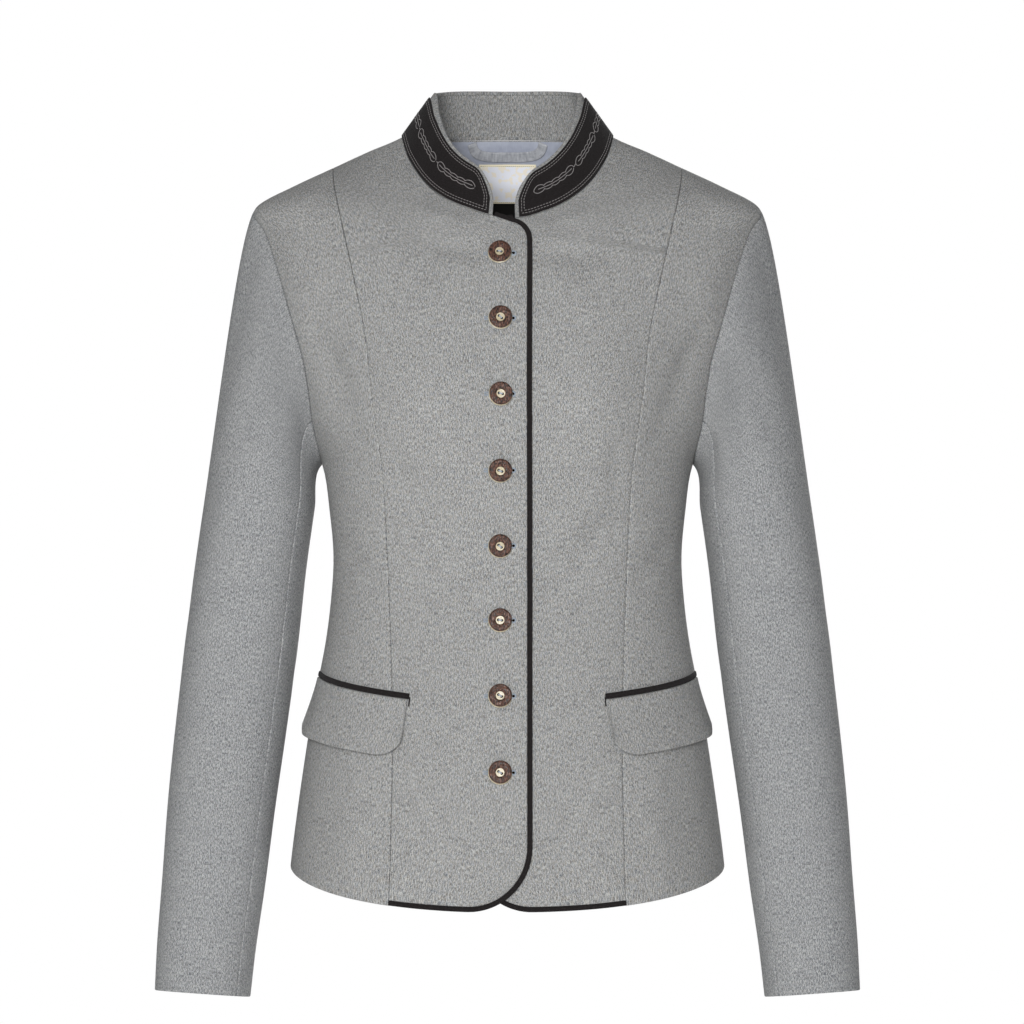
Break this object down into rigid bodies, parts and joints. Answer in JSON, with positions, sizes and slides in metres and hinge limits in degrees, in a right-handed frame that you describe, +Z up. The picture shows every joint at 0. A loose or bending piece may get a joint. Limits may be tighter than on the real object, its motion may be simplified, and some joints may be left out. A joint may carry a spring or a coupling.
{
  "type": "trachten blazer",
  "caption": "Fitted grey wool jacket with a black-trimmed stand collar, round horn buttons, flap pockets and long sleeves, filled out and hollow.",
  "frame": {"origin": "between the two side neck points, at the level where the collar meets the shoulder seams", "axes": "+Z up the body to the collar, -Y out of the front, +X to the wearer's left"},
  "size_m": [0.5594, 0.2606, 0.7319],
  "materials": {
    "grey_wool": "light grey melange wool flannel, brushed",
    "black_felt": "black felted wool, matte",
    "lining_satin": "blue-grey satin, soft sheen",
    "woven_label": "pale woven label, smooth",
    "stag_horn": null
  },
  "bodies": {
    "root": {"front_right": "grey_wool", "front_left": "grey_wool", "side_front_right": "grey_wool", "side_front_left": "grey_wool", "back": "grey_wool", "side_back_right": "grey_wool", "side_back_left": "grey_wool", "sleeve_upper_right": "grey_wool", "sleeve_upper_left": "grey_wool", "sleeve_under_right": "grey_wool", "sleeve_under_left": "grey_wool", "collar": "grey_wool", "pocket_flap_right": "grey_wool", "pocket_flap_left": "grey_wool", "collar_overlay": "black_felt", "piping_right": "black_felt", "piping_left": "black_felt", "pocket_welt_right": "black_felt", "pocket_welt_left": "black_felt", "back_neck_lining": "lining_satin", "hanger_loop": "lining_satin", "label": "woven_label", "button_1": "stag_horn", "button_2": "stag_horn", "button_3": "stag_horn", "button_4": "stag_horn", "button_5": "stag_horn", "button_6": "stag_horn", "button_7": "stag_horn", "button_8": "stag_horn"}
  },
  "joints": []
}
